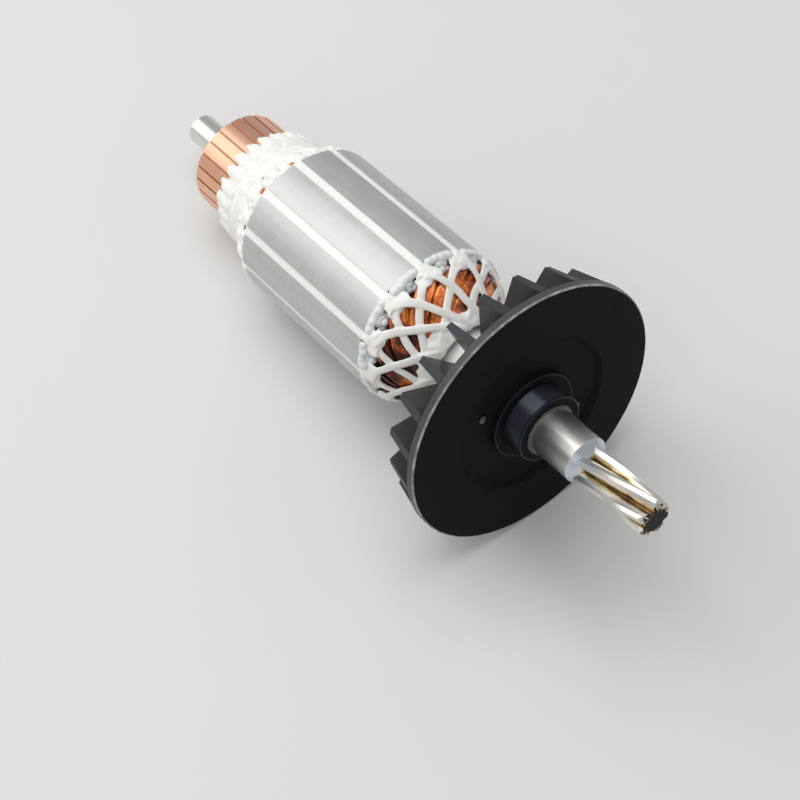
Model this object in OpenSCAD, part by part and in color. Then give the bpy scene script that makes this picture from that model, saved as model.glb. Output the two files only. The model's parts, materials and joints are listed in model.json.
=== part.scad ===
// Armature of a hand-held rotary hammer: shaft with a helical pinion, fan, twelve-slot core,
// twelve coils, laced end windings and a twenty-four-bar commutator.
// Every piece is drawn along the shaft axis, with z = 0 on the fan's front face, and is then
// laid down by lay(), as the armature rests: on the fan's rim and the core's far edge.

/* [Shaft] */
// Diameter of the bearing journal beside the pinion
drive_journal_d = 10; // [9.6:0.1:10]
// Length of that journal, from the fan bush to the pinion's shoulder
drive_journal_len = 10.1; // [7:0.1:16]
// Diameter of the seat under the fan bush
fan_seat_d = 10.4; // [10.4:0.1:10.6]
// Diameter of the shaft inside the core
core_seat_d = 10.8; // [10.7:0.1:11.4]
// Diameter of the seat under the commutator
comm_seat_d = 9; // [7.6:0.2:9.6]
// Diameter of the bearing journal at the commutator end
rear_journal_d = 7; // [5:0.5:7]
// Length of that journal
rear_journal_len = 15.6; // [10:0.2:24]
// Chamfer on the shaft's rear end
shaft_chamfer = 0.8; // [0.2:0.1:1]
// Diameter of the centre hole in the rear end
centre_hole_d = 2; // [1:0.2:3]

/* [Pinion] */
// Number of teeth
pinion_teeth = 5; // [4:1:7]
// Diameter over the teeth
pinion_tip_d = 8.4; // [7.6:0.1:9]
// Diameter at the bottom of the grooves
pinion_root_d = 4.4; // [4:0.1:6]
// Length of the toothed end
pinion_len = 19.3; // [14:0.1:26]
// Length of the coned run-out between journal and grooves
pinion_runout = 2.8; // [2:0.2:6]
// Turn of the left-hand helix for each millimetre of length, in degrees
helix_rate = 3.4; // [2:0.1:4.5]
// Angle of one tooth at the tip, from straight down
pinion_phase = 11.5; // [0:0.5:72]
// Length over which the tooth ends are rounded off
pinion_nose = 1.1; // [0.4:0.1:2]

/* [Fan] */
// Diameter of the fan
fan_d = 58.5; // [50:0.5:64]
// Thickness of the disc at the rim
rim_t = 1.7; // [1.2:0.1:2.4]
// Number of blades
blade_count = 21; // [15:1:25]
// Angle of the first blade, from straight down
blade_phase = 11.6; // [0:0.1:17]
// Depth of a blade at its outer corner, from the front face
blade_depth = 9.8; // [7:0.1:12]
// Radius lost between the rim and the blade's outer corner
blade_draft = 1.95; // [0.5:0.05:3]
// How much deeper a blade gets for each millimetre inward
blade_slope = 0.18; // [0.05:0.01:0.2]
// Radius at which the blades end inside
blade_inner_r = 13; // [11:0.5:17]
// Blade thickness at the disc
blade_root_t = 2; // [1.6:0.1:2.6]
// Blade thickness at the free edge
blade_edge_t = 1.2; // [0.8:0.1:1.5]
// Diameter of the shallow recess in the front face
recess_d = 35.5; // [30:0.5:40]
// Depth of that recess
recess_depth = 1; // [0.5:0.1:1.2]
// Diameter of the raised base round the boss
boss_base_d = 19.2; // [17:0.2:22]
// Diameter of the boss
boss_d = 15; // [14:0.2:16.6]
// Height of the boss over the front face
boss_h = 4.9; // [3:0.1:7]
// Diameter of the hub behind the disc
hub_d = 17; // [15:0.5:20]
// Length of the hub behind the front face
hub_len = 12; // [9:0.5:13.5]
// Wall of the metal bush in the fan's bore
bush_wall = 0.4; // [0.3:0.1:1.2]
// How far the bush stands out of the boss
bush_proud = 0.2; // [0.1:0.1:0.6]
// Diameter of the two pips on the recess floor
pip_d = 1.8; // [1:0.2:3]
// Angle of the pips, from straight down
pip_phase = 57; // [0:1:180]

/* [Core] */
// Diameter of the core
core_d = 35.5; // [34:0.5:38]
// Length of the core
core_len = 40.8; // [25:0.2:60]
// Distance from the fan's front face to the core
fan_to_core = 32.6; // [30:0.2:38]
// Number of slots and coils
slot_count = 12; // [10:1:12]
// Width of a slot's mouth
slot_mouth = 2; // [1.4:0.1:2.6]
// Thickness of the tooth lips beside the mouth
lip_t = 0.8; // [0.6:0.1:1.2]
// Width of a tooth
tooth_w = 3.2; // [2.8:0.1:3.6]
// Radius of the slot's floor
slot_floor_r = 9.2; // [8.8:0.1:9.6]
// Diameter over the insulating sleeve on the shaft
sleeve_d = 13.6; // [12.6:0.1:13.8]
// Thickness of the slot paper
liner_t = 0.25; // [0.15:0.05:0.35]
// How far the slot paper stands out of the core
liner_out = 1.2; // [0.6:0.1:1.6]
// Thickness of the wedge that closes a slot
wedge_t = 0.5; // [0.4:0.1:0.7]
// How far the wedge's rib lies below the core's surface
wedge_recess = 0.35; // [0.1:0.05:0.5]
// How far the wedges stand out of the core
wedge_out = 0.6; // [0.2:0.1:1]
// Thickness of the end insulators
end_plate_t = 0.8; // [0.5:0.1:1]
// Radius of the rolled pad on each insulator tooth
pad_r = 1.15; // [0.8:0.05:1.2]

/* [Winding] */
// Slots spanned by a coil
coil_span = 5; // [4:1:6]
// Overhang of the coils towards the fan
overhang_drive = 12.4; // [11:0.2:14]
// Overhang of the coils towards the commutator
overhang_comm = 8.8; // [7:0.2:10]
// Gap between the two coil layers in a slot
layer_gap = 0.55; // [0.4:0.05:0.9]
// Width of the flat cords of the lacing
cord_w = 1.9; // [1.2:0.1:2.4]
// Thickness of those cords
cord_t = 0.8; // [0.5:0.1:1.1]
// Turn of the lacing cords that lead forward between core and nose, in degrees
lace_turn = 54; // [30:1:70]
// Turn of those that lead back
lace_back_turn = 38; // [24:1:60]
// Radius of the cord turned round the leads
turn_r = 0.7; // [0.5:0.02:0.8]
// Number of those turns
turn_count = 7; // [6:1:8]
// Radius of a coil lead in its sleeve
lead_r = 0.6; // [0.4:0.05:0.7]

/* [Commutator] */
// Diameter of the commutator
comm_d = 23; // [21:0.5:24]
// Length of the commutator
comm_len = 13.2; // [10:0.2:18]
// Distance from the core to the commutator
core_to_comm = 14.6; // [13.6:0.2:18]
// Number of bars
bar_count = 24; // [20:1:30]
// Gap between bars
bar_gap = 0.5; // [0.3:0.05:0.7]
// Depth of the undercut between bars
undercut = 0.6; // [0.3:0.1:1]
// Depth of a bar at its rim
bar_t = 1.9; // [1.5:0.1:2.2]
// Depth of the dovetail foot below that
foot_t = 1.2; // [0.8:0.1:1.3]
// Radius of the hook on a bar
hook_r = 0.75; // [0.5:0.05:0.9]
// Length of the hook
hook_len = 3.2; // [2:0.1:4]
// Wall of the commutator's metal bush
comm_bush_wall = 0.8; // [0.5:0.1:1.2]
// Angle of the first bar, from straight down
bar_phase = 7.5; // [0:0.5:15]

/* [Hidden] */
$fn = 64;
small_fn = 24;

fan_r = fan_d / 2;
core_r = core_d / 2;
sleeve_r = sleeve_d / 2;
comm_r = comm_d / 2;
fan_seat_r = fan_seat_d / 2;
bush_r = fan_seat_r + bush_wall;

// Stations along the axis
bush_face_z = boss_h + bush_proud;
shoulder_z = bush_face_z + drive_journal_len;
tip_z = shoulder_z + pinion_len;
hub_back_z = -hub_len;
core_front_z = -fan_to_core;
core_back_z = core_front_z - core_len;
comm_front_z = core_back_z - core_to_comm;
comm_back_z = comm_front_z - comm_len;
end_z = comm_back_z - rear_journal_len;
mould_collar = 1.2;
sleeve_back_z = comm_front_z + mould_collar;

// Rest: the rim's rear edge and the two tooth corners at the core's far end touch the ground
core_rest_r = sqrt(core_r * core_r - slot_mouth * slot_mouth / 4);
tilt = atan((fan_r - core_rest_r) / (-rim_t - core_back_z));
axis_h = fan_r * cos(tilt) + rim_t * sin(tilt);
mid_x = ((tip_z + end_z) * cos(tilt) + (pinion_tip_d - rear_journal_d) / 2 * sin(tilt)) / 2;

// Slot: side walls run parallel to the teeth
half_pitch = 180 / slot_count;
wall_drop = tooth_w / 2 / cos(half_pitch);
lip_r = core_r - lip_t;
roof_drop = 0.5;
slot_top_r = lip_r - roof_drop;
wedge_in_r = slot_top_r - wedge_t;
coil_floor_r = slot_floor_r + liner_t;
layer_h = (wedge_in_r - coil_floor_r - layer_gap) / 4;

// Sizes of the end windings
face_run = 2.3;
nose_clear = 0.15;
lace_clear = 0.25;
nose_cord_r = 1.15;
first_turn = 5.6;
last_turn = core_to_comm - 2.6;
bundle_fill = 0.83;
bar_pitch = 360 / bar_count;
foot_r = comm_r - bar_t;
mould_r = foot_r - foot_t;
comm_bush_r = comm_seat_d / 2 + comm_bush_wall;

// Round rod with a ball at its first end
module rod(from, to, r) {
    span = to - from;
    translate(from) rotate([0, acos(span[2] / norm(span)), atan2(span[1], span[0])]) {
        cylinder(r = r, h = norm(span), $fn = small_fn);
        sphere(r, $fn = small_fn);
    }
}

function two_digits(k) = k < 10 ? str("0", k) : str(k);

// Lays an armature drawn along z down on the ground, straight down being its +x side
module lay() {
    translate([-mid_x, 0, axis_h]) rotate([0, 90 - tilt, 0]) children();
}

module ring_of(count, phase = 0) {
    for (k = [0 : count - 1]) rotate(phase + k * 360 / count) children();
}

// ---- Sweeps -------------------------------------------------------------------------------

// Side triangles of a sweep through rings of m points each
function skin(rings, m, closed) = [
    for (j = [0 : (closed ? rings : rings - 1) - 1])
        for (i = [0 : m - 1])
            let (a = j * m + i, b = j * m + (i + 1) % m,
                 c = ((j + 1) % rings) * m + i, d = ((j + 1) % rings) * m + (i + 1) % m)
            each [[a, b, d], [a, d, c]]];

module sweep(rings, closed = false) {
    m = len(rings[0]);
    n = len(rings);
    caps = closed ? [] : [[for (i = [m - 1 : -1 : 0]) i], [for (i = [0 : m - 1]) (n - 1) * m + i]];
    polyhedron(points = [for (ring = rings) each ring],
               faces = concat(skin(n, m, closed), caps), convexity = 6);
}

// ---- Shaft --------------------------------------------------------------------------------

// One groove-and-tooth outline: full round teeth and narrower round grooves
function tooth_r(a) = let (wave = (1 + cos(pinion_teeth * a)) / 2)
    blend(pinion_root_d, pinion_tip_d, pow(wave, 0.75)) / 2;

module pinion_teeth_solid() {
    steps = pinion_teeth * 7;
    height = tip_z - shoulder_z;
    start = pinion_phase + helix_rate * height;
    translate([0, 0, shoulder_z])
    linear_extrude(height = height, twist = helix_rate * height, slices = 16)
    rotate(start)
        polygon([for (k = [0 : steps - 1]) let (a = k * 360 / steps) tooth_r(a) * [cos(a), sin(a)]]);
}

module rotor_shaft() {
    rear_r = rear_journal_d / 2;
    hole_r = centre_hole_d / 2;
    journal_r = drive_journal_d / 2;
    root_r = pinion_root_d / 2;
    color("lightgray") lay() {
        rotate_extrude()
            polygon([[0, end_z + hole_r * 1.7], [hole_r, end_z], [rear_r - shaft_chamfer, end_z],
                     [rear_r, end_z + shaft_chamfer], [rear_r, comm_back_z],
                     [comm_seat_d / 2, comm_back_z], [comm_seat_d / 2, sleeve_back_z],
                     [core_seat_d / 2, sleeve_back_z], [core_seat_d / 2, hub_back_z],
                     [fan_seat_r, hub_back_z], [fan_seat_r, bush_face_z],
                     [journal_r, bush_face_z], [journal_r, shoulder_z],
                     [root_r, shoulder_z + pinion_runout], [0, shoulder_z + pinion_runout]]);
        intersection() {
            pinion_teeth_solid();
            rotate_extrude()
                polygon([[0, shoulder_z - 1], [journal_r, shoulder_z - 1],
                         [journal_r, tip_z - pinion_nose * 2], [pinion_tip_d / 2, tip_z - pinion_nose],
                         [root_r + 0.9, tip_z], [0, tip_z]]);
        }
    }
}

module insulating_sleeve() {
    color("white") lay()
        rotate_extrude()
            polygon([[core_seat_d / 2, sleeve_back_z], [sleeve_r, sleeve_back_z],
                     [sleeve_r, hub_back_z], [core_seat_d / 2, hub_back_z]]);
}

// ---- Core ---------------------------------------------------------------------------------

// Half width of the slot at distance x from the axis, with the walls moved in by inset
function slot_half(x, inset = 0) = x * tan(half_pitch) - wall_drop - inset / cos(half_pitch);

module slot_outline(inset = 0) {
    floor_x = slot_floor_r + inset;
    roof_x = slot_top_r;
    polygon([[floor_x, -slot_half(floor_x, inset)], [roof_x, -slot_half(roof_x, inset)],
             [lip_r, -slot_mouth / 2], [lip_r, slot_mouth / 2],
             [roof_x, slot_half(roof_x, inset)], [floor_x, slot_half(floor_x, inset)]]);
}

module lamination_outline(outer_r) {
    difference() {
        circle(outer_r);
        circle(sleeve_r);
        ring_of(slot_count) {
            slot_outline();
            translate([lip_r - 0.1, -slot_mouth / 2]) square([lip_t + 1, slot_mouth]);
        }
    }
}

module lamination_stack() {
    color("silver") lay()
        translate([0, 0, core_back_z]) linear_extrude(core_len) lamination_outline(core_r);
}

// Fibre end plate with a rolled pad on each tooth; drawn from z = 0 away from the core
module end_insulator() {
    pad_x = slot_top_r - pad_r / 2;
    linear_extrude(end_plate_t) lamination_outline(lip_r);
    ring_of(slot_count, half_pitch)
        translate([pad_x, 0, pad_r]) rotate([90, 0, 0]) {
            cylinder(r = pad_r, h = 1, center = true, $fn = small_fn);
            for (side = [-0.5, 0.5]) translate([0, 0, side]) sphere(pad_r, $fn = small_fn);
        }
}

module drive_end_insulator() {
    color("gainsboro") lay() translate([0, 0, core_front_z]) end_insulator();
}

module commutator_end_insulator() {
    color("gainsboro") lay() translate([0, 0, core_back_z]) mirror([0, 0, 1]) end_insulator();
}

// Folded slot paper, open under the wedge
module slot_liners() {
    color("whitesmoke") lay()
        translate([0, 0, core_back_z - liner_out])
        linear_extrude(core_len + 2 * liner_out)
        ring_of(slot_count) difference() {
            intersection() {
                slot_outline();
                translate([0, -core_r]) square([wedge_in_r, core_d]);
            }
            slot_outline(liner_t);
        }
}

// Fibre wedge: a flat under the lips with a rib in the mouth
module slot_wedges() {
    rib_top = core_r - wedge_recess;
    color("white") lay()
        translate([0, 0, core_back_z - wedge_out])
        linear_extrude(core_len + 2 * wedge_out)
        ring_of(slot_count) {
            polygon([[wedge_in_r, -slot_half(wedge_in_r)], [slot_top_r, -slot_half(slot_top_r)],
                     [lip_r, -slot_mouth / 2], [rib_top, -slot_mouth / 2],
                     [rib_top, slot_mouth / 2], [lip_r, slot_mouth / 2],
                     [slot_top_r, slot_half(slot_top_r)], [wedge_in_r, slot_half(wedge_in_r)]]);
        }
}

// ---- Coils --------------------------------------------------------------------------------

// Outer skin of an end winding from core face to nose and back along the sleeve: how far out it
// lies (0 sleeve, 1 wedge), how far along the overhang, the way it faces in degrees, the half
// thickness of the bundle as a share of a layer, and the share of the coil's turn done
HAIRPIN = [[1.00, 0.00, 0, 1.00, 0.00], [0.90, 0.20, 30, 0.96, 0.05], [0.70, 0.43, 38, 0.86, 0.16],
           [0.50, 0.65, 41, 0.72, 0.28], [0.33, 0.85, 46, 0.52, 0.40], [0.18, 1.00, 95, 0.44, 0.50],
           [0.00, 0.86, 180, 0.44, 0.59], [0.00, 0.62, 180, 0.62, 0.70], [0.05, 0.36, 180, 0.90, 0.83],
           [0.22, 0.09, 180, 0.96, 0.96]];

function blend(a, b, t) = a * (1 - t) + b * t;
function hairpin_at(u) = let (j = min(floor(u), len(HAIRPIN) - 2)) blend(HAIRPIN[j], HAIRPIN[j + 1], u - j);

// Six points of a bundle: flat faces out and in, rounded sides
function bundle_ring(skin_r, along, facing, half_t, turn, z0, dir, open, drop) = [
    for (p = [[1, 0.75], [1, -0.75], [0, -1], [-1, -0.75], [-1, 0.75], [0, 1]])
        let (x = skin_r + (p[0] - 1) * half_t * cos(facing),
             y = p[1] * (x * tan(open) - drop),
             z = z0 + dir * (along + (p[0] - 1) * half_t * sin(facing)))
        [x * cos(turn) - y * sin(turn), x * sin(turn) + y * cos(turn), z]];

slot_drop = wall_drop + liner_t / cos(half_pitch);
half_layer = layer_h * 1.0;

function end_rings(z0, dir, overhang, total) =
    let (low = sleeve_r + nose_clear, run = overhang - face_run, steps = (len(HAIRPIN) - 1) * 2)
    concat(
        [bundle_ring(wedge_in_r, 0, 0, half_layer, 0, z0, dir, half_pitch, slot_drop)],
        [for (k = [0 : steps])
            let (h = hairpin_at(k / 2), free = min(1, k / 3, (steps - k) / 2 + 0.5))
            bundle_ring(blend(low, wedge_in_r, h[0]), face_run + run * h[1], h[2],
                        half_layer * h[3], total * h[4], z0, dir,
                        blend(half_pitch, half_pitch * bundle_fill, free), blend(slot_drop, 0, free))],
        [bundle_ring(coil_floor_r, face_run, 180, half_layer, total, z0, dir, half_pitch, slot_drop),
         bundle_ring(coil_floor_r, 0, 180, half_layer, total, z0, dir, half_pitch, slot_drop)]);

function reversed(list) = [for (k = [len(list) - 1 : -1 : 0]) list[k]];

module coil(k) {
    total = coil_span * 2 * half_pitch;
    rings = concat(end_rings(core_front_z, 1, overhang_drive, total),
                   reversed(end_rings(core_back_z, -1, overhang_comm, total)));
    color("chocolate") lay() rotate(2 * half_pitch * (k - 1)) sweep(rings, closed = true);
}

// ---- Lacing -------------------------------------------------------------------------------

function skin_r_at(h) = blend(sleeve_r + nose_clear, wedge_in_r, h);

// A point on the drive-end dome, lift above the coils: u runs from the core face (0) to the nose (1)
function dome_point(u, turn, lift) =
    let (h = hairpin_at(u * 5), r = skin_r_at(h[0]) + lift * cos(h[2]),
         z = core_front_z + face_run + (overhang_drive - face_run) * h[1] + lift * sin(h[2]))
    [r * cos(turn), r * sin(turn), z];

function unit(v) = v / norm(v);
// A cord turns faster where the dome narrows
function cord_turn(u, total) = total * pow(u, 1.25);

module lace(total) {
    lift = lace_clear + cord_t * (total > 0 ? 0.5 : 0.8);
    steps = 6;
    rings = [for (k = [0 : steps])
        let (u = k / steps, du = 0.02,
             here = dome_point(u, cord_turn(u, total), lift),
             ahead = dome_point(u + du, cord_turn(u + du, total), lift),
             normal = unit(dome_point(u, cord_turn(u, total), lift + 1) - here),
             across = unit(cross(normal, ahead - here)) * cord_w / 2,
             up = normal * cord_t / 2)
        [here - across * 0.7 + up, here + across * 0.7 + up,
         here + across - up * 0.6, here - across - up * 0.6]];
    sweep(rings);
}

module drive_end_lacing() {
    knot_r = 0.6;
    knot_x = wedge_in_r + lace_clear + knot_r;
    color("white") lay() {
        ring_of(slot_count) {
            lace(lace_turn);
            lace(-lace_back_turn);
            hull() {
                translate([knot_x - knot_r, -cord_w / 2, core_front_z + wedge_out])
                    cube([2 * knot_r, cord_w, 0.4]);
                for (turn = [-6, 6])
                    rotate(turn) translate([knot_x, 0, core_front_z + face_run + 0.3]) sphere(knot_r, $fn = 6);
            }
        }
        translate([0, 0, core_front_z + overhang_drive + nose_cord_r + 0.1])
            rotate_extrude($fn = 24) translate([sleeve_r + nose_cord_r + 0.1, 0]) circle(nose_cord_r, $fn = 6);
    }
}

// ---- Commutator end -----------------------------------------------------------------------

// Middle line of the leads: distance from the core, and height over the commutator's rim
LEAD_LINE = [[4.2, 2.5], [5.4, 1.9], [7.4, 0.75], [10, 0.2], [core_to_comm, 0]];
function lead_r_at(e) = comm_r + lookup(e, LEAD_LINE);
// Middle line of the cord turns, square off the sloping leads
function turn_r_at(e) = let (slope = lead_r_at(e + 0.5) - lead_r_at(e - 0.5))
    lead_r_at(e) + (lead_r + turn_r + 0.04) * norm([1, slope]);

module coil_leads() {
    color("ivory") lay()
        for (k = [0 : bar_count - 1]) rotate(bar_phase + k * bar_pitch) {
            rings = [for (j = [len(LEAD_LINE) - 1 : -1 : 1]) let (e = LEAD_LINE[j][0]) [for (a = [0 : 60 : 300])
                [lead_r_at(e) + lead_r * cos(a), lead_r * sin(a), core_back_z - e]]];
            sweep([for (ring = rings) reversed(ring)]);
        }
}

// Cord turns lie side by side over the leads; a tie runs from the first turn to each slot
module commutator_end_lacing() {
    step = (last_turn - first_turn) / max(1, turn_count - 1);
    tie_in = [turn_r_at(first_turn) + turn_r * 0.6, core_back_z - first_turn];
    tie_out = [slot_top_r + cord_t / 2, core_back_z - wedge_out - cord_t / 2];
    color("white") lay() {
        rotate_extrude() for (k = [0 : turn_count - 1]) {
            e = first_turn + k * step;
            translate([turn_r_at(e), core_back_z - e]) circle(turn_r);
        }
        ring_of(slot_count) for (side = [-1, 1])
            rod([tie_out[0], side * 0.4, tie_out[1]], [tie_in[0], side * 2.2, tie_in[1]], cord_t / 2);
    }
}

module commutator_bar(k) {
    neck = 1.5;
    chamfer = 0.4;
    half = bar_pitch / 2;
    apex = bar_gap / 2 / sin(half);
    far = comm_r * 1.2;
    color("peru") lay() rotate(bar_phase + (k - 1) * bar_pitch) {
        intersection() {
            rotate_extrude()
                polygon([[foot_r, comm_back_z], [comm_r - chamfer, comm_back_z],
                         [comm_r, comm_back_z + chamfer], [comm_r, comm_front_z],
                         [foot_r, comm_front_z], [foot_r, comm_front_z - 2 * neck],
                         [mould_r, comm_front_z - neck], [mould_r, comm_back_z + neck],
                         [foot_r, comm_back_z + 2 * neck]]);
            translate([0, 0, comm_back_z - 1]) linear_extrude(comm_len + 2)
                polygon([[apex, 0], [far, -(far - apex) * tan(half)], [far, (far - apex) * tan(half)]]);
        }
        translate([comm_r, 0, comm_front_z - hook_len]) {
            cylinder(r = hook_r, h = hook_len, $fn = small_fn);
            sphere(hook_r, $fn = small_fn);
        }
    }
}

module commutator_moulding() {
    neck = 1.5;
    color("saddlebrown") lay() {
        rotate_extrude()
            polygon([[comm_bush_r, comm_back_z], [foot_r, comm_back_z], [foot_r, comm_back_z + 2 * neck],
                     [mould_r, comm_back_z + neck], [mould_r, comm_front_z - neck],
                     [foot_r, comm_front_z - 2 * neck], [foot_r, sleeve_back_z],
                     [comm_bush_r, sleeve_back_z]]);
        ring_of(bar_count, bar_phase + bar_pitch / 2)
            translate([mould_r - 0.2, -bar_gap / 2, comm_back_z])
                cube([bar_t + foot_t + 0.2 - undercut, bar_gap, comm_len]);
    }
}

module commutator_bush() {
    color("goldenrod") lay()
        translate([0, 0, comm_back_z]) difference() {
            cylinder(r = comm_bush_r, h = sleeve_back_z - comm_back_z);
            translate([0, 0, -1]) cylinder(r = comm_seat_d / 2, h = sleeve_back_z - comm_back_z + 2);
        }
}

// ---- Fan ----------------------------------------------------------------------------------

module blade() {
    foot_z = -rim_t + 0.3;
    corner_r = fan_r - blade_draft;
    inner_z = -blade_depth - blade_slope * (corner_r - blade_inner_r);
    intersection() {
        rotate([90, 0, 0]) linear_extrude(blade_root_t + 1, center = true)
            polygon([[blade_inner_r - 1, foot_z], [fan_r - 0.1, foot_z], [fan_r - 0.1, -rim_t],
                     [corner_r, -blade_depth], [blade_inner_r, inner_z]]);
        rotate([90, 0, 90]) linear_extrude(fan_r + 1)
            polygon([[-blade_root_t / 2, foot_z], [-blade_edge_t / 2, inner_z],
                     [blade_edge_t / 2, inner_z], [blade_root_t / 2, foot_z]]);
    }
}

module cooling_fan() {
    edge = 0.3;
    recess_r = recess_d / 2;
    boss_r = boss_d / 2;
    wall = 1.2;
    color([0.12, 0.12, 0.13]) lay() {
        rotate_extrude($fn = 96)
            polygon([[bush_r, hub_back_z], [hub_d / 2, hub_back_z], [hub_d / 2, -rim_t - recess_depth],
                     [recess_r, -rim_t - recess_depth], [recess_r + wall, -rim_t], [fan_r, -rim_t],
                     [fan_r, -edge], [fan_r - edge, 0], [recess_r, 0], [recess_r - wall, -recess_depth],
                     [boss_base_d / 2, -recess_depth], [boss_base_d / 2, 0.2], [boss_r, 0.2],
                     [boss_r, boss_h - edge], [boss_r - edge, boss_h], [bush_r, boss_h]]);
        ring_of(blade_count, blade_phase) blade();
        for (side = [0, 180]) rotate(pip_phase + side)
            translate([(recess_r - wall + boss_base_d / 2) / 2, 0, -recess_depth - 0.5])
                cylinder(d = pip_d, h = 0.7, $fn = small_fn);
    }
}

module fan_bush() {
    color("darkgray") lay()
        translate([0, 0, hub_back_z]) difference() {
            cylinder(r = bush_r, h = bush_face_z - hub_back_z);
            translate([0, 0, -1]) cylinder(r = fan_seat_r, h = bush_face_z - hub_back_z + 2);
        }
}

// ---- Nodes --------------------------------------------------------------------------------

rotor_shaft();
insulating_sleeve();
lamination_stack();
drive_end_insulator();
commutator_end_insulator();
slot_liners();
slot_wedges();
for (k = [1 : 12])
    coil(k);
drive_end_lacing();
coil_leads();
commutator_end_lacing();
for (k = [1 : 24])
    commutator_bar(k);
commutator_moulding();
commutator_bush();
cooling_fan();
fan_bush();
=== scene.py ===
"""Looks of a wound motor armature that lies on its fan's rim and its core's far edge.

Everything is placed from the shaft: z runs along it from the fan's front face towards the
pinion, and angles go round it from straight down. place() turns such points into the frame's.
"""
import json
import math

import bpy
import numpy as np
from mathutils import Matrix


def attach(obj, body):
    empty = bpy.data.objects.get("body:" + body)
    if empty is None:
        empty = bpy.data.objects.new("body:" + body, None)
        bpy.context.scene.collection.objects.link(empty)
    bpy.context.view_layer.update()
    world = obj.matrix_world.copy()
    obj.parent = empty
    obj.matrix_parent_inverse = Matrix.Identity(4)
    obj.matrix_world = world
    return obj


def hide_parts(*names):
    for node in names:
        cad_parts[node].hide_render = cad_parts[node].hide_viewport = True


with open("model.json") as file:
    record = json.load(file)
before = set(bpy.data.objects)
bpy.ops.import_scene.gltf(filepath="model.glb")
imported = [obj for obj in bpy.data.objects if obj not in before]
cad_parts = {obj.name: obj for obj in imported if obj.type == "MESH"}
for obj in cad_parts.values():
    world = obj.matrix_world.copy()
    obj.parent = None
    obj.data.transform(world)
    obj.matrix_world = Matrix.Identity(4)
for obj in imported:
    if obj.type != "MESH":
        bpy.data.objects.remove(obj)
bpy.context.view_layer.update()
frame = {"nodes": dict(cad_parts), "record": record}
MM = 0.001

# ---- The shaft's frame ---------------------------------------------------------------------

MOUNTS = {mount["name"]: mount for mount in frame["record"]["mounts"]}
FAN_TO_JOURNAL = 10.15 * MM     # from the fan's front face to the middle of the drive journal
AXIS = np.array(MOUNTS["drive_journal"]["axis"])
AXIS = AXIS / np.linalg.norm(AXIS)
ORIGIN = np.array(MOUNTS["drive_journal"]["pos_m"]) - AXIS * FAN_TO_JOURNAL
DOWN = np.array([AXIS[2], 0.0, -AXIS[0]])
SIDE = np.array([0.0, 1.0, 0.0])


def place(points):
    """Points (..., 3) in the shaft's frame, carried into the frame of the model."""
    points = np.asarray(points, float)
    return ORIGIN + points[..., 0:1] * DOWN + points[..., 1:2] * SIDE + points[..., 2:3] * AXIS


def polar(radius, degrees, z):
    """Points at a distance from the shaft, an angle round it and a station along it."""
    radius, degrees, z = np.broadcast_arrays(radius, degrees, z)
    turn = np.radians(degrees)
    return np.stack([radius * np.cos(turn), radius * np.sin(turn), z], axis=-1)


def node_points(name):
    """A node's corners as distance from the shaft and station along it."""
    mesh = frame["nodes"][name].data
    flat = np.empty(len(mesh.vertices) * 3)
    mesh.vertices.foreach_get("co", flat)
    from_origin = flat.reshape(-1, 3) - ORIGIN
    along = from_origin @ AXIS
    across = np.linalg.norm(from_origin - along[:, None] * AXIS, axis=1)
    return across, along


def reach(name):
    """Least and greatest station and radius of a node."""
    across, along = node_points(name)
    return along.min(), along.max(), across.min(), across.max()


CORE_BACK, CORE_FRONT, _, CORE_R = reach("lamination_stack")
_, _, _, SLEEVE_R = reach("insulating_sleeve")
_, _, _, FAN_R = reach("cooling_fan")
RIM_T = 1.7 * MM                # the fan's disc at its rim
RECESS_DEPTH = 1.0 * MM         # the recess in its front face
BOSS_R = 7.5 * MM
BOSS_H = 4.9 * MM
BOSS_BASE_R = 9.6 * MM          # the low step round the boss
PIP_R = 0.9 * MM                # the two pips in the recess
PIP_RING_R = 13.08 * MM
PIP_PHASE = 57
_, COMM_FRONT, _, _ = reach("commutator_bar_01")
COMM_R = 11.5 * MM
_, SHAFT_TIP, _, _ = reach("rotor_shaft")
BUSH_END = 6.0 * MM             # just in front of the bush, where the journal begins
SHOULDER = 14.9 * MM            # where the toothed end's tints begin
SLOTS = 12
SLOT_STEP = 360 / SLOTS
COIL_SPAN = 5
BARS = 24
BAR_STEP = 360 / BARS
BAR_PHASE = 7.5
WEDGE_IN_R = 15.95 * MM         # the wedge's inner face, where the coils leave their slots
HALF_LAYER = 1.49 * MM          # half the thickness of a coil in its slot
FACE_RUN = 2.3 * MM             # straight run of a coil out of the core
OVERHANG_DRIVE = 12.4 * MM
OVERHANG_COMM = 8.8 * MM
SLOT_DROP = 1.92 * MM           # what the tooth and the slot paper take off a coil's half width
random = np.random.default_rng(12)

# ---- Camera --------------------------------------------------------------------------------

VIEW_TARGET = np.array([13.22, -10.89, -30.94]) * MM      # in the shaft's frame
VIEW_AZIMUTH = -35.35
VIEW_ELEVATION = 57.05
VIEW_DISTANCE = 391.3 * MM
VIEW_ROLL = -3.45
LENS = 86.0


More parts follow.
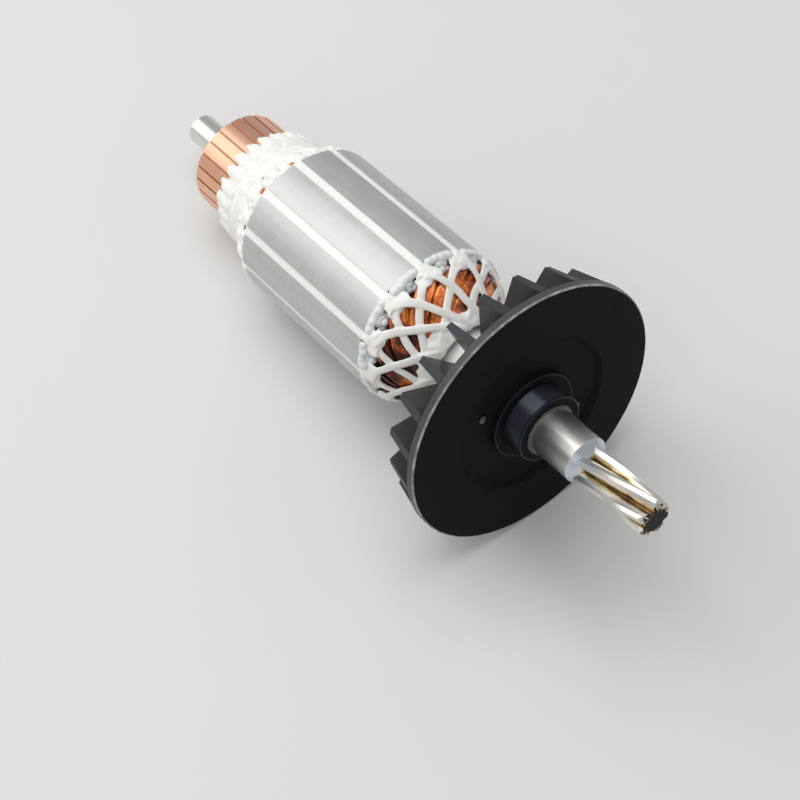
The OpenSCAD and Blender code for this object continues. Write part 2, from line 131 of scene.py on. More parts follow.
def set_camera():
    """Camera on a sphere round the target, rolled about its own line of sight."""
    azimuth = math.radians(VIEW_AZIMUTH)
    elevation = math.radians(VIEW_ELEVATION)
    roll = math.radians(VIEW_ROLL)
    back = np.array([math.cos(elevation) * math.cos(azimuth),
                     math.cos(elevation) * math.sin(azimuth), math.sin(elevation)])
    level = np.cross([0, 0, 1], back)
    level /= np.linalg.norm(level)
    rise = np.cross(back, level)
    right = level * math.cos(roll) + rise * math.sin(roll)
    up = np.cross(back, right)
    data = bpy.data.cameras.new("camera")
    data.lens = LENS
    data.sensor_width = 36.0
    data.clip_start = 0.01
    camera = bpy.data.objects.new("camera", data)
    bpy.context.collection.objects.link(camera)
    matrix = np.eye(4)
    matrix[:3, 0], matrix[:3, 1], matrix[:3, 2] = right, up, back
    matrix[:3, 3] = place(VIEW_TARGET) + back * VIEW_DISTANCE
    camera.matrix_world = Matrix(matrix)
    bpy.context.scene.camera = camera


set_camera()

# ---- Meshes from grids ---------------------------------------------------------------------


def grid_faces(rows, columns, wrap_rows, wrap_columns):
    """Quads between neighbours on a grid of rows by columns, each way closed on itself or not."""
    i = np.arange(rows if wrap_rows else rows - 1)[:, None]
    j = np.arange(columns if wrap_columns else columns - 1)[None, :]
    i2 = (i + 1) % rows
    j2 = (j + 1) % columns
    return np.stack([i * columns + j, i * columns + j2, i2 * columns + j2, i2 * columns + j],
                    axis=-1).reshape(-1, 4)


def make_piece(name, points, quads, caps=()):
    """A mesh object at the origin from corners (n, 3), quads (m, 4) and a few wider faces."""
    mesh = bpy.data.meshes.new(name)
    faces = [tuple(quad) for quad in np.asarray(quads).tolist()] + [tuple(cap) for cap in caps]
    mesh.from_pydata(np.asarray(points).reshape(-1, 3).tolist(), [], faces)
    mesh.polygons.foreach_set("use_smooth", np.ones(len(mesh.polygons), bool))
    mesh.update()
    piece = bpy.data.objects.new(name, mesh)
    bpy.context.collection.objects.link(piece)
    return piece


def unit(vectors):
    """Vectors brought to length one."""
    return vectors / np.maximum(np.linalg.norm(vectors, axis=-1, keepdims=True), 1e-12)


def tubes(paths, normals, half_width, half_height, sides=6, square=2.0):
    """Sweeps: paths (s, n, 3) carry an oval cross-section, its height along normals (s, n, 3)
    and its width across path and normal. Half sizes are (s, n) or numbers; square above 2
    flattens the oval's sides. Returns corners, quads and end caps."""
    paths = np.asarray(paths, float)
    tangents = unit(np.gradient(paths, axis=1))
    normals = unit(normals - tangents * np.sum(normals * tangents, axis=-1, keepdims=True))
    across = np.cross(tangents, normals)
    turn = np.arange(sides) / sides * 2 * np.pi
    c = np.sign(np.cos(turn)) * np.abs(np.cos(turn)) ** (2 / square)
    s = np.sign(np.sin(turn)) * np.abs(np.sin(turn)) ** (2 / square)
    half_width = np.broadcast_to(half_width, paths.shape[:2])[..., None, None]
    half_height = np.broadcast_to(half_height, paths.shape[:2])[..., None, None]
    corners = (paths[:, :, None, :] + across[:, :, None, :] * (c[:, None] * half_width)
               + normals[:, :, None, :] * (s[:, None] * half_height))
    strands, rings = paths.shape[:2]
    one = grid_faces(rings, sides, False, True)[:, ::-1]
    step = (np.arange(strands) * rings * sides)[:, None, None]
    quads = (one[None] + step).reshape(-1, 4)
    ends = []
    for first in range(0, strands * rings * sides, rings * sides):
        last = first + (rings - 1) * sides
        ends.append(list(range(first, first + sides)))
        ends.append(list(range(last, last + sides))[::-1])
    return corners.reshape(-1, 3), quads, ends


def over_shaft(radius, degrees, z):
    """Points at a radius, an angle and a station, and the way off the shaft at each."""
    points = place(polar(radius, degrees, z))
    return points, place(polar(radius + 1 * MM, degrees, z)) - points


def merge_parts(parts):
    """Joins (corners, quads, caps) triples into one."""
    corners, quads, caps = [], [], []
    start = 0
    for part_corners, part_quads, part_caps in parts:
        corners.append(np.asarray(part_corners).reshape(-1, 3))
        quads.append(np.asarray(part_quads) + start)
        caps += [[i + start for i in cap] for cap in part_caps]
        start += len(corners[-1])
    return np.concatenate(corners), np.concatenate(quads), caps


def wobble(strands, rings, waves, size):
    """Smooth seeded unevenness (strands, rings): a few sine waves of random phase and weight."""
    at = np.linspace(0, 1, rings)
    total = np.zeros((strands, rings))
    for wave in range(1, waves + 1):
        phase = random.uniform(0, 2 * np.pi, (strands, 1))
        total += random.normal(0, 1 / wave, (strands, 1)) * np.sin(2 * np.pi * wave * at + phase)
    return total * size


def finish_piece(piece, material, slot, *nodes):
    """Gives a piece its material, lets it ride, and stands it for its CAD nodes. Its slot is not
    used.
    """
    piece.data.materials.clear()
    piece.data.materials.append(material)
    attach(piece, "root")
    if nodes:
        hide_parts(*nodes)


def melt(piece, voxel, smoothing):
    """Melts a piece's overlapping solids into one skin, then smooths it."""
    modifier = piece.modifiers.new("melt", "REMESH")
    modifier.mode = "VOXEL"
    modifier.voxel_size = voxel
    modifier.use_smooth_shade = True
    soften = piece.modifiers.new("soften", "SMOOTH")
    soften.factor = 0.5
    soften.iterations = smoothing


# ---- Shader maths --------------------------------------------------------------------------


class Num:
    """A number socket; sums and products written with it add their Math nodes."""

    def __init__(self, tree, socket):
        self.tree = tree
        self.socket = socket

    def op(self, operation, *others, clamp=False):
        node = self.tree.nodes.new("ShaderNodeMath")
        node.operation = operation
        node.use_clamp = clamp
        for slot, value in zip(node.inputs, (self,) + others):
            if isinstance(value, Num):
                self.tree.links.new(value.socket, slot)
            else:
                slot.default_value = value
        return Num(self.tree, node.outputs[0])

    def __add__(self, other):
        return self.op("ADD", other)

    __radd__ = __add__

    def __sub__(self, other):
        return self.op("SUBTRACT", other)

    def __rsub__(self, other):
        return self.op("MULTIPLY", -1.0).op("ADD", other)

    def __mul__(self, other):
        return self.op("MULTIPLY", other)

    __rmul__ = __mul__

    def __neg__(self):
        return self.op("MULTIPLY", -1.0)

    def abs(self):
        return self.op("ABSOLUTE")

    def root(self):
        return self.op("SQRT")

    def clamp(self):
        return self.op("ADD", 0.0, clamp=True)

    def ramp(self, low, high):
        """0 below low, 1 above high, straight between; high may be the lower one."""
        return ((self - low) * (1 / (high - low))).clamp()

    def bump_at(self, middle, half):
        """1 at middle, falling to 0 at half away from it."""
        return (1 - (self - middle).abs() * (1 / half)).clamp()


class Finish:
    """A material under construction, with the shaft's own coordinates at hand. Its turn is in
    radians from straight up: half a circle less the angle that polar() takes."""

    def __init__(self, name):
        self.material = bpy.data.materials.new(name)
        self.material.use_nodes = True
        self.tree = self.material.node_tree
        self.shader = self.tree.nodes["Principled BSDF"]
        coordinates = self.node("ShaderNodeTexCoord").outputs
        self.position = coordinates["Object"]
        self.facing = coordinates["Normal"]
        centred = self.node("ShaderNodeVectorMath", {"operation": "SUBTRACT"},
                            {0: self.position, 1: tuple(ORIGIN)}).outputs[0]
        self.down = self.dot(centred, DOWN)
        self.side = self.dot(centred, SIDE)
        self.along = self.dot(centred, AXIS)
        self.radius = (self.down * self.down + self.side * self.side).root()
        self.turn = self.side.op("ARCTAN2", -self.down)

    def node(self, kind, settings=None, values=None):
        """Any node: its settings first, then what its sockets hold or are linked to."""
        made = self.tree.nodes.new(kind)
        for key, value in (settings or {}).items():
            if key == "stops":
                ramp = made.color_ramp
                while len(ramp.elements) > 1:
                    ramp.elements.remove(ramp.elements[-1])
                for k, (at, colour) in enumerate(value):
                    stop = ramp.elements[0] if k == 0 else ramp.elements.new(at)
                    stop.position = at
                    stop.color = (*colour, 1.0)
            else:
                setattr(made, key, value)
        for key, value in (values or {}).items():
            slot = made.inputs[key]
            if isinstance(value, Num):
                self.tree.links.new(value.socket, slot)
            elif isinstance(value, bpy.types.NodeSocket):
                self.tree.links.new(value, slot)
            else:
                slot.default_value = value
        return made

    def dot(self, vector, direction):
        node = self.node("ShaderNodeVectorMath", {"operation": "DOT_PRODUCT"},
                         {0: vector, 1: tuple(direction)})
        return Num(self.tree, node.outputs["Value"])

    def stretch(self, across, along):
        """The shaft's coordinates scaled across and along it, for textures with a grain."""
        scaled = {0: self.down * across, 1: self.side * across, 2: self.along * along}
        return self.node("ShaderNodeCombineXYZ", None, scaled).outputs[0]

    def noise(self, scale, detail=3.0, roughness=0.55, vector=None):
        """Noise from 0 to 1, scale in features to the metre unless a vector is given."""
        node = self.node("ShaderNodeTexNoise", None,
                         {"Vector": vector if vector is not None else self.position, "Scale": scale,
                          "Detail": detail, "Roughness": roughness})
        return Num(self.tree, node.outputs[0])

    def mix(self, factor, first, second):
        """A colour between two; either may be a socket or three numbers."""
        node = self.node("ShaderNodeMix", {"data_type": "RGBA"})
        factor_at, first_at, second_at = node.inputs[0], node.inputs[6], node.inputs[7]
        for slot, value in ((factor_at, factor), (first_at, first), (second_at, second)):
            if isinstance(value, Num):
                self.tree.links.new(value.socket, slot)
            elif isinstance(value, bpy.types.NodeSocket):
                self.tree.links.new(value, slot)
            elif isinstance(value, (int, float)):
                slot.default_value = value
            else:
                slot.default_value = (*value, 1.0)
        return node.outputs[2]

    def bump(self, height, distance, normal=None):
        """A Bump node: height from 0 to 1 stands for distance in metres."""
        values = {"Height": height, "Distance": distance, "Strength": 1.0}
        if normal is not None:
            values["Normal"] = normal
        return self.node("ShaderNodeBump", None, values).outputs[0]

    def set(self, **values):
        """Constants and links on the shader, by socket name with _ for spaces."""
        for key, value in values.items():
            slot = self.shader.inputs[key.replace("_", " ")]
            if isinstance(value, Num):
                self.tree.links.new(value.socket, slot)
            elif isinstance(value, bpy.types.NodeSocket):
                self.tree.links.new(value, slot)
            elif slot.type == "RGBA":
                slot.default_value = (*value, 1.0)
            else:
                slot.default_value = value


# ---- Materials -----------------------------------------------------------------------------

DARK_SPOT_TURN = -23.6              # the dark spot at one slot's end, in degrees from straight up
DARK_SPOT_Z = -77.4 * MM


def core_steel():
    """Ground electrical steel: fine sheet edges round the core and soft blotches."""
    f = Finish("core_steel")
    sheets = f.noise(1.0, 2.0, 0.6, f.stretch(60, 4000))
    blotch = f.noise(160, 3.0)
    streak = f.noise(1.0, 3.0, 0.6, f.stretch(900, 25))
    tone = (blotch * 0.35 + streak * 0.35 + sheets * 0.3).ramp(0.3, 0.7)
    colour = f.mix(tone, (0.50, 0.505, 0.51), (0.64, 0.64, 0.635))
    edge = f.radius.ramp(CORE_R - 0.6 * MM, CORE_R - 0.1 * MM)
    colour = f.mix(edge, (0.34, 0.34, 0.345), colour)
    f.set(Base_Color=colour, Metallic=0.8, Roughness=(sheets * 0.1 + blotch * 0.1 + 0.38),
          Normal=f.bump(sheets, 0.02 * MM))
    return f.material


def shaft_steel():
    """Ground steel with fine turning marks; the step beside the bush is painted near black, as
    painted shade. The toothed end keeps the tints of its hardening: bluish at the shoulder,
    cream on the teeth, straw down their flanks and brown in the grooves, going near black at
    the groove bottoms as painted shade. Its end face is black, with bare glints at its edge."""
    f = Finish("shaft_steel")
    rings = f.noise(1.0, 3.0, 0.7, f.stretch(40, 9000))
    grain = f.noise(900, 3.0)
    patch = f.noise(420, 3.0)
    bare = f.mix(grain, (0.70, 0.685, 0.65), (0.80, 0.78, 0.74))
    toothed = f.along.ramp(SHOULDER, 15.6 * MM)
    start = f.along.ramp(23.0 * MM, 17.0 * MM)
    crest = f.mix(start, (0.80, 0.78, 0.72), (0.60, 0.65, 0.70))
    height = f.radius + (patch - 0.5) * (1.2 * MM)
    # The flanks run from near black at the groove bottoms, painted shade, through brown and straw
    # to cream
    flank = f.node("ShaderNodeValToRGB", {"stops": [
        (0.0, (0.05, 0.035, 0.025)), (0.28, (0.10, 0.06, 0.03)), (0.42, (0.42, 0.29, 0.12)),
        (0.56, (0.66, 0.55, 0.34)), (0.72, (0.76, 0.73, 0.66)), (1.0, (0.80, 0.79, 0.76))]},
        {"Fac": height.ramp(2.0 * MM, 3.6 * MM)}).outputs[0]
    teeth = f.mix(height.ramp(3.0 * MM, 3.7 * MM), flank, crest)
    black = f.along.ramp(SHAFT_TIP - 0.6 * MM, SHAFT_TIP - 0.35 * MM)
    # Painted shade: the step's face beside the bush, facing along the shaft, is painted near black
    step = f.dot(f.facing, AXIS).ramp(0.5, 0.8) * f.along.ramp(6.5 * MM, BUSH_END)
    colour = f.mix(toothed, f.mix(step, bare, (0.13, 0.125, 0.12)), teeth)
    glints = f.radius.ramp(1.9 * MM, 2.7 * MM) * f.noise(1300, 2.0).ramp(0.50, 0.56)
    black = black * (1 - glints)
    colour = f.mix(black, colour, (0.012, 0.011, 0.012))
    f.set(Base_Color=colour, Metallic=(1 - black), Coat_Weight=(black * 0.12),
          Coat_Roughness=0.1, Specular_IOR_Level=0.05, Roughness=(rings * 0.05 + 0.27),
          Normal=f.bump(rings * (1 - toothed), 0.009 * MM))
    return f.material


def bar_copper():
    """Turned copper with fine rings, each bar in a tone of its own; white varnish covers the
    hooks and runs a little way onto the bars."""
    f = Finish("bar_copper")
    rings = f.noise(1.0, 3.0, 0.7, f.stretch(30, 7000))
    bar = (f.turn * (BARS / (2 * math.pi)) + BAR_PHASE / BAR_STEP).op("ROUND")
    own = f.node("ShaderNodeTexWhiteNoise", {"noise_dimensions": "1D"}, {"W": bar}).outputs["Value"]
    tone = f.noise(220, 3.0) * 0.6 + Num(f.tree, own) * 0.4
    colour = f.mix(tone, (0.78, 0.40, 0.25), (0.90, 0.58, 0.42))
    drip = f.noise(700, 2.0)
    run = f.along + (drip - 0.5) * (1.6 * MM)
    varnish = run.ramp(COMM_FRONT - 2.4 * MM, COMM_FRONT - 2.0 * MM)
    varnish = (varnish + f.radius.ramp(COMM_R + 0.15 * MM, COMM_R + 0.3 * MM)).clamp()
    colour = f.mix(varnish, colour, (0.88, 0.87, 0.83))
    f.set(Base_Color=colour, Metallic=(1 - varnish), Roughness=(rings * 0.15 + 0.26),
          Normal=f.bump(rings, 0.01 * MM))
    return f.material


def coil_copper(name, roughness):
    """Enamelled wire under varnish: orange where it is thin and near black where it pools, at
    random, and darker towards the shaft's negative side, which is painted shade."""
    f = Finish(name)
    # Painted shade: pool drops by 0.13 where the wire lies 6.5 to 11 mm to the shaft's negative
    # side
    pool = f.noise(230, 4.0, 0.55) - f.side.ramp(-6.5 * MM, -11.0 * MM) * 0.13
    fleck = f.noise(1500, 2.0)
    colour = f.node("ShaderNodeValToRGB", {"stops": [
        (0.0, (0.045, 0.008, 0.003)), (0.30, (0.13, 0.022, 0.006)), (0.50, (0.55, 0.11, 0.018)),
        (0.72, (0.84, 0.26, 0.05)), (1.0, (0.94, 0.42, 0.12))]},
        {"Fac": (pool * 0.85 + fleck * 0.15).ramp(0.34, 0.64)}).outputs[0]
    f.set(Base_Color=colour, Metallic=0.6, Roughness=(fleck * 0.15 + roughness), Coat_Weight=0.5,
          Coat_Roughness=0.06)
    return f.material


def cord_white(name, colour_low, colour_high, stained=0.0):
    """Varnished cord: fine lay of its threads and cream where the varnish pools. Where stained
    is above 0, it has amber stains next to the core and one dark spot at a slot's end."""
    f = Finish(name)
    threads = f.noise(1.0, 3.0, 0.6, f.stretch(2600, 900))
    pool = f.noise(400, 3.0)
    colour = f.mix(pool.ramp(0.35, 0.65), colour_low, colour_high)
    if stained:
        near = f.along.ramp(CORE_BACK - 3.6 * MM, CORE_BACK - 2.0 * MM)
        # The amber stains next to the core, and one dark spot at a slot's end
        spot = f.turn.bump_at(math.radians(DARK_SPOT_TURN), 0.032) * f.along.bump_at(DARK_SPOT_Z, 0.75 * MM)
        stains_and_spot = f.noise(620, 2.0).ramp(0.62, 0.72) * near * stained + spot.ramp(0.1, 0.4)
        colour = f.mix(stains_and_spot.clamp(), colour, (0.30, 0.20, 0.07))
    f.set(Base_Color=colour, Roughness=(pool * 0.25 + 0.28), Normal=f.bump(threads, 0.05 * MM),
          Subsurface_Weight=0.15, Subsurface_Radius=(0.6, 0.5, 0.4), Subsurface_Scale=0.001)
    return f.material


def fan_plastic():
    """Black moulding: matt face with dust specks, a scuffed front edge and a smooth boss, whose
    wall is crowned by its bump. Its tones are painted light and shade: the face is painted
    darker, the rim and the blades painted greyer."""
    f = Finish("fan_plastic")
    grain = f.noise(2600, 3.0)
    haze = f.noise(130, 4.0)
    specks = f.noise(1500, 2.0).ramp(0.735, 0.775)
    chips = f.noise(420, 4.0, 0.7).ramp(0.44, 0.60)
    # Painted light and shade: one plastic in three tones by place, the front face darkest, the back
    # and blades lighter, the rim's side lightest
    colour = f.mix(haze, (0.0055, 0.0062, 0.0085), (0.010, 0.0108, 0.014))
    behind = f.along.ramp(-RIM_T, -RIM_T - 0.8 * MM)
    colour = f.mix(behind, colour, f.mix(haze, (0.030, 0.032, 0.036), (0.060, 0.062, 0.068)))
    side = f.radius.ramp(FAN_R - 0.2 * MM, FAN_R - 0.08 * MM)
    colour = f.mix(side, colour, f.mix(haze, (0.050, 0.052, 0.056), (0.095, 0.097, 0.102)))
    edge = f.radius.ramp(FAN_R - 0.4 * MM, FAN_R - 0.25 * MM) * f.along.ramp(-0.4 * MM, -0.25 * MM)
    colour = f.mix(edge * (chips * 0.45 + 0.35), colour, (0.56, 0.56, 0.57))
    colour = f.mix(specks * 0.5, colour, (0.16, 0.16, 0.17))
    wall = f.dot(f.facing, AXIS).abs().ramp(0.7, 0.3)
    boss = f.radius.ramp(BOSS_R + 0.3 * MM, BOSS_R + 0.15 * MM) * f.along.ramp(0.1 * MM, 0.3 * MM)
    boss = boss * wall
    rings = f.noise(1.0, 2.0, 0.6, f.stretch(40, 5000))
    crown = f.along.ramp(BOSS_H, 0.2 * MM) * 0.3
    colour = f.mix(boss, colour, (0.034, 0.039, 0.050))
    polish = behind * 0.25 + side * 0.3 + haze * 0.05
    roughness = (haze * 0.2 + 0.45) * (1 - boss) + boss * 0.24
    fine = f.bump(grain * (1 - boss) + rings * boss, 0.012 * MM)
    f.set(Base_Color=colour, Metallic=boss * 0.75, Roughness=roughness, Specular_IOR_Level=0.04,
          Coat_Weight=polish, Coat_Roughness=0.16, Normal=f.bump(crown * boss, BOSS_H, fine))
    return f.material


def plain(name, low, high, scale, roughness, **more):
    """Two close tones in soft blotches, with a little unevenness."""
    f = Finish(name)
    tone = f.noise(scale, 3.0)
    f.set(Base_Color=f.mix(tone, low, high), Roughness=(tone * 0.15 + roughness),
          Normal=f.bump(tone, 0.05 * MM), **more)
    return f.material


CORE = core_steel()
STEEL = shaft_steel()
BAR = bar_copper()
COPPER = coil_copper("coil_copper", 0.35)
WIRE = coil_copper("winding_wire", 0.22)
CORD = cord_white("lacing_cord", (0.86, 0.85, 0.79), (0.93, 0.93, 0.91))
BINDING = cord_white("binding_cord", (0.87, 0.86, 0.80), (0.93, 0.93, 0.91), 0.5)
LEAD = cord_white("lead_sleeve", (0.78, 0.75, 0.66), (0.88, 0.87, 0.83))
FAN = fan_plastic()
ARRIS = plain("fan_arris", (0.008, 0.009, 0.012), (0.012, 0.013, 0.017), 400, 0.4,
              Coat_Weight=0.35, Coat_Roughness=0.15, Specular_IOR_Level=0.04)
POLISHED = plain("fan_polish", (0.010, 0.011, 0.014), (0.014, 0.015, 0.019), 400, 0.3,
                 Coat_Weight=1.0, Coat_Roughness=0.12)
SLEEVE = plain("sleeve_plastic", (0.74, 0.74, 0.72), (0.84, 0.84, 0.82), 240, 0.35)
FIBRE = plain("fibre_insulator", (0.60, 0.63, 0.64), (0.78, 0.80, 0.80), 500, 0.35)
LUMP = plain("varnish_lump", (0.66, 0.70, 0.72), (0.90, 0.91, 0.90), 420, 0.2, Coat_Weight=0.4)
PAPER = plain("slot_paper", (0.70, 0.66, 0.58), (0.84, 0.82, 0.76), 600, 0.5)
WEDGE = plain("wedge_fibre", (0.86, 0.86, 0.82), (0.95, 0.95, 0.92), 500, 0.3)
# The moulding is painted a light copper brown, as painted light, so the narrow gaps between the
# bars show little shade
PHENOLIC = plain("moulding_phenolic", (0.64, 0.38, 0.27), (0.74, 0.46, 0.34), 500, 0.4)
BRASS = plain("bush_brass", (0.60, 0.46, 0.22), (0.72, 0.58, 0.30), 400, 0.3, Metallic=1.0)
# The bush is painted near black, far darker than its own steel, as painted shade
BUSH = plain("fan_bush_metal", (0.05, 0.05, 0.05), (0.24, 0.235, 0.225), 1500, 0.45,
             Metallic=1.0)

NODE_FINISH = {"rotor_shaft": STEEL, "insulating_sleeve": SLEEVE, "lamination_stack": CORE,
               "drive_end_insulator": FIBRE, "commutator_end_insulator": FIBRE,
               "slot_liners": PAPER, "slot_wedges": WEDGE, "drive_end_lacing": CORD,
               "coil_leads": LEAD, "commutator_end_lacing": CORD,
               "commutator_moulding": PHENOLIC, "commutator_bush": BRASS,
               "cooling_fan": FAN, "fan_bush": BUSH}
for name, node in frame["nodes"].items():
    finish = NODE_FINISH.get(name, COPPER if name.startswith("coil_") else BAR)
    node.data.materials.clear()
    node.data.materials.append(finish)

# ---- End windings --------------------------------------------------------------------------

# A coil's outer skin from the core's face to the nose and back in along the sleeve: how far out
# it lies (0 sleeve, 1 wedge), how far along the overhang, the way it faces in degrees, the half
# thickness of the bundle as a share of a layer, and the share of the coil's turn done.
HAIRPIN = np.array([[1.00, 0.00, 0, 1.00, 0.00], [0.90, 0.20, 30, 0.96, 0.05],
                    [0.70, 0.43, 38, 0.86, 0.16], [0.50, 0.65, 41, 0.72, 0.28],
                    [0.33, 0.85, 46, 0.52, 0.40], [0.18, 1.00, 95, 0.44, 0.50],
                    [0.00, 0.86, 180, 0.44, 0.59], [0.00, 0.62, 180, 0.62, 0.70],
                    [0.05, 0.36, 180, 0.90, 0.83], [0.22, 0.09, 180, 0.96, 0.96]])
NOSE = 5                        # the line of that table at which the coil turns back
LOW_R = SLEEVE_R + 0.15 * MM


def hairpin(at):
    """The table's columns between its lines, straight from one line to the next."""
    lines = np.arange(len(HAIRPIN))
    return [np.interp(at, lines, column) for column in HAIRPIN.T]


def coil_wires(face_z, out, overhang, wires=13, rings=40):
    """Wires laid on the outside of every coil at one end: each keeps its share of the bundle's
    width and depth while the bundle follows the hairpin and turns round the shaft."""
    at = np.linspace(0, len(HAIRPIN) - 1, rings)
    rise, run, facing, thick, turned = hairpin(at)
    facing = np.radians(facing)
    share = np.linspace(-1, 1, wires)[:, None]
    depth = np.where(np.abs(share) > 0.86, 0.55, 1.0)
    share = share * 0.92 + wobble(wires * SLOTS, rings, 5, 0.025).reshape(SLOTS, wires, rings)
    skin = LOW_R + (WEDGE_IN_R - LOW_R) * rise
    half = HALF_LAYER * thick
    radius = skin + (depth - 1) * half * np.cos(facing)
    along = FACE_RUN + (overhang - FACE_RUN) * run + (depth - 1) * half * np.sin(facing)
    free = np.minimum(1, np.minimum(at * 2 / 3, len(HAIRPIN) - 0.5 - at))
    width = radius * np.tan(np.radians(SLOT_STEP / 2) * (1 - 0.04 * free)) - SLOT_DROP * (1 - free)
    sideways = share * width
    start = np.arange(SLOTS)[:, None, None] * SLOT_STEP
    turn = start + COIL_SPAN * SLOT_STEP * turned + np.degrees(np.arctan2(sideways, radius))
    distance = np.hypot(radius, sideways)
    paths = place(polar(distance, turn, face_z + out * along)).reshape(-1, rings, 3)
    lean = place(polar(np.cos(facing), turn, out * np.sin(facing))) - ORIGIN
    thick = np.broadcast_to(np.maximum(0.25 * MM, width / wires * 1.15), turn.shape)
    return tubes(paths, lean.reshape(-1, rings, 3), thick.reshape(-1, rings), 0.25 * MM, sides=6)


def winding(name, face_z, out, overhang):
    """The visible wires of one end of the winding, as one piece on the coils."""
    corners, quads, caps = coil_wires(face_z, out, overhang)
    piece = make_piece(name, corners, quads, caps)
    finish_piece(piece, WIRE, "coil_copper")


# ---- Lacing at the fan end -----------------------------------------------------------------

# How far each cord turns from its slot to the nose, forward and back; laid by hand, so uneven.
FORWARD_TURN = [52, 56, 50, 58, 54, 65, 68, 44, 40, 50, 58, 52]
BACK_TURN = [40, 36, 42, 34, 38, 22, 30, 38, 58, 46, 36, 40]
CORD_T = 0.75 * MM
CORD_W = 1.75 * MM


def dome(at, turn, lift):
    """Points on the fan-end winding, lift above the wires; at runs from 0 to 1 at the nose."""
    rise, run, facing, _, _ = hairpin(at * NOSE)
    facing = np.radians(facing)
    radius = LOW_R + (WEDGE_IN_R - LOW_R) * rise + lift * np.cos(facing)
    z = CORE_FRONT + FACE_RUN + (OVERHANG_DRIVE - FACE_RUN) * run + lift * np.sin(facing)
    return polar(radius, turn, z)


def cord_family(totals, sign, lift, rings=30):
    """One flat cord from each slot: its turn grows as the 1.25th power of the way to the nose,
    its width swells at the slot, and both wander a little."""
    at = np.linspace(0.0, 1.0, rings)
    slots = (np.arange(SLOTS) * SLOT_STEP)[:, None]
    totals = np.array(totals)[:, None]
    wander = wobble(SLOTS, rings, 3, 1.2) * np.sin(np.pi * at)
    turn = slots + sign * (totals * at ** 1.25 + 3.0 * np.minimum(1, at * 8)) + wander
    rise = lift + wobble(SLOTS, rings, 3, 0.06 * MM)
    at = np.broadcast_to(at, turn.shape)
    paths = place(dome(at, turn, rise))
    lean = place(dome(at, turn, rise + 1 * MM)) - paths
    swell = 1 + 0.75 * np.exp(-(at / 0.10) ** 2) + wobble(SLOTS, rings, 4, 0.05)
    return tubes(paths, lean, CORD_W / 2 * swell, CORD_T / 2 * (0.9 + 0.35 * (swell - 0.9)),
                 sides=12, square=2.6)


def slot_bridge(rings=16):
    """The mass of cord and varnish over each slot's end: from the wedge it widens and thins
    down onto the coil, and ends in a round edge between its two cords."""
    at = np.linspace(0, 1, rings)
    slots = (np.arange(SLOTS) * SLOT_STEP)[:, None]
    z = CORE_FRONT + (0.1 + 4.3 * at) * MM
    radius = (17.15 - 1.55 * at ** 1.5) * MM
    turn = slots + wobble(SLOTS, rings, 2, 0.8)
    paths, lean = over_shaft(radius, turn, z)
    close = np.sqrt(np.maximum(0.04, 1 - np.maximum(0, (at - 0.62) / 0.38) ** 2))
    width = (0.95 + 2.15 * np.minimum(at / 0.62, 1) ** 1.2 + wobble(SLOTS, rings, 3, 0.12)) * close
    return tubes(paths, lean, width * MM, (0.72 - 0.2 * at) * close * MM, sides=14, square=2.2)


def pebbles(turn, radius, z, size, rings=9):
    """Rounded lumps: each is a short sweep along the shaft whose half width is the square root
    of one minus the square of its place between the two ends."""
    at = np.linspace(-1, 1, rings)
    turn, radius, z, size = (np.ravel(value)[:, None] for value in
                             np.broadcast_arrays(turn, radius, z, size))
    paths, lean = over_shaft(radius + 0 * at, turn + 0 * at, z + size * at)
    half = size * np.sqrt(np.maximum(0.03, 1 - at ** 2))
    return tubes(paths, lean, half * 1.1, half, sides=10)


def tooth_lumps(face_z, out, proud, off):
    """Lumps of varnish and paper on the end of every tooth: an outer row that stands proud of
    the core's edge and off its face, and an inner row over the coils' sides."""
    teeth = (np.arange(SLOTS) + 0.5)[:, None] * SLOT_STEP
    outer = teeth + np.array([-8.6, -3.2, 3.2, 8.6]) + random.normal(0, 1.0, (SLOTS, 4))
    inner = teeth + np.array([-5.5, 0.5, 6.0]) + random.normal(0, 1.4, (SLOTS, 3))
    outer_size = random.uniform(0.85, 1.25, outer.shape) * MM
    inner_size = random.uniform(0.7, 1.2, inner.shape) * MM
    outer_r = CORE_R + proud - outer_size
    inner_r = random.uniform(14.9, 15.8, inner.shape) * MM
    outer_z = face_z + out * (off + outer_size * random.uniform(0.3, 0.9, outer.shape))
    inner_z = face_z + out * random.uniform(1.3, 2.4, inner.shape) * MM
    return [pebbles(outer, outer_r, outer_z, outer_size),
            pebbles(inner, inner_r, inner_z, inner_size)]


def tooth_bands(face_z, rings=24):
    """A swelling of varnish along the end of every tooth, under its lumps."""
    turn = ((np.arange(SLOTS) + 0.5) * SLOT_STEP)[:, None] + np.linspace(-10.5, 10.5, rings)
    size = (0.85 + wobble(SLOTS, rings, 8, 0.13)) * MM
    radius = CORE_R + 0.12 * MM - size
    z = face_z + 0.35 * MM + wobble(SLOTS, rings, 4, 0.08 * MM)
    paths, lean = over_shaft(radius, turn, z)
    return tubes(paths, lean, size * 1.1, size, sides=12)


def fan_end_lumps():
    """The lumps between the slots at the fan end, melted together."""
    parts = tooth_lumps(CORE_FRONT, 1, 0.28 * MM, 0.0) + [tooth_bands(CORE_FRONT)]
    piece = make_piece("drive_end_lumps", *merge_parts(parts))
    melt(piece, 0.2 * MM, 4)
    finish_piece(piece, LUMP, "fibre_insulator")


def nose_ring(z, radius, thickness, waves=9, rings=90):
    """A cord laid once round the sleeve: a helix whose radius and thickness wander."""
    at = np.linspace(0, 1, rings)
    radius = radius + wobble(1, rings, waves, 0.16 * MM)[0]
    z = z + (at - 0.5) * 2 * thickness + wobble(1, rings, waves, 0.12 * MM)[0]
    paths, lean = over_shaft(radius, at * 360, z)
    width = thickness * (1 + wobble(1, rings, waves, 0.08))
    return tubes(paths[None], lean[None], width, thickness, sides=8)


